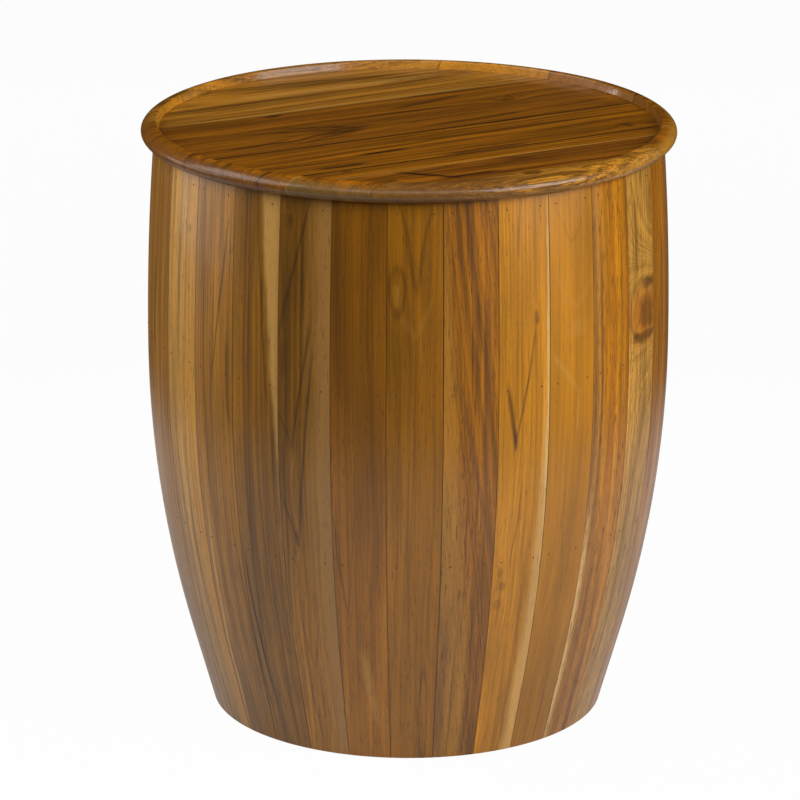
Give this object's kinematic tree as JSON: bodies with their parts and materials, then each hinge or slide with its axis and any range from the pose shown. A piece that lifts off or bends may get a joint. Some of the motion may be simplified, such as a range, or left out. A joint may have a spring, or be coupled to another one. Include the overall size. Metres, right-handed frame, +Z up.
{
  "type": "drum side table",
  "caption": "Round drum side table: a bulging body of edge-glued wooden staves that tapers to the floor, under a shallow turned tray top with a rounded overhanging rim.",
  "frame": {"origin": "on the floor, at the table's axis, under the centre of the foot", "axes": "+Z up along the table's axis, -Y the front that the picture shows, +X to the right seen from the front"},
  "size_m": [0.45, 0.45, 0.511],
  "materials": {
    "stave_golden": "satin lacquer over warm golden-brown hardwood",
    "stave_pale": "satin lacquer over pale tan hardwood",
    "stave_brown": "satin lacquer over grey-brown hardwood",
    "stave_reddish": "satin lacquer over reddish-brown hardwood",
    "board_tan": "satin lacquer over tan hardwood",
    "board_golden": "satin lacquer over golden-brown hardwood",
    "board_brown": "satin lacquer over dark reddish-brown hardwood",
    "plywood": "raw sanded plywood",
    "batten_wood": "raw planed hardwood",
    "brad_steel": "dull dark steel, stopped with brown wax",
    "screw_zinc": "zinc plated",
    "glide_nylon": "black moulded nylon"
  },
  "bodies": {
    "root": {"stave_01": "stave_golden", "stave_02": "stave_reddish", "stave_03": "stave_golden", "stave_04": "stave_golden", "stave_05": "stave_golden", "stave_06": "stave_pale", "stave_07": "stave_golden", "stave_08": "stave_brown", "stave_09": "stave_golden", "stave_10": "stave_pale", "stave_11": "stave_brown", "stave_12": "stave_golden", "stave_13": "stave_reddish", "stave_14": "stave_golden", "stave_15": "stave_brown", "stave_16": "stave_pale", "stave_17": "stave_golden", "stave_18": "stave_reddish", "stave_19": "stave_golden", "stave_20": "stave_brown", "stave_21": "stave_golden", "stave_22": "stave_pale", "stave_23": "stave_brown", "stave_24": "stave_golden", "stave_25": "stave_brown", "stave_26": "stave_pale", "stave_27": "stave_brown", "stave_28": "stave_brown", "stave_29": "stave_brown", "stave_30": "stave_golden", "top_board_1": "board_tan", "top_board_2": "board_tan", "top_board_3": "board_brown", "top_board_4": "board_golden", "top_board_5": "board_golden", "top_board_6": "board_tan", "top_board_7": "board_brown", "upper_hoop": "plywood", "upper_brads": "brad_steel", "middle_hoop": "plywood", "middle_brads": "brad_steel", "lower_hoop": "plywood", "lower_brads": "brad_steel", "top_batten_1": "batten_wood", "top_batten_2": "batten_wood", "batten_screws": "screw_zinc", "top_screws": "screw_zinc", "floor_glide_1": "glide_nylon", "floor_glide_2": "glide_nylon", "floor_glide_3": "glide_nylon", "floor_glide_4": "glide_nylon", "floor_glide_5": "glide_nylon", "floor_glide_6": "glide_nylon"}
  },
  "joints": []
}
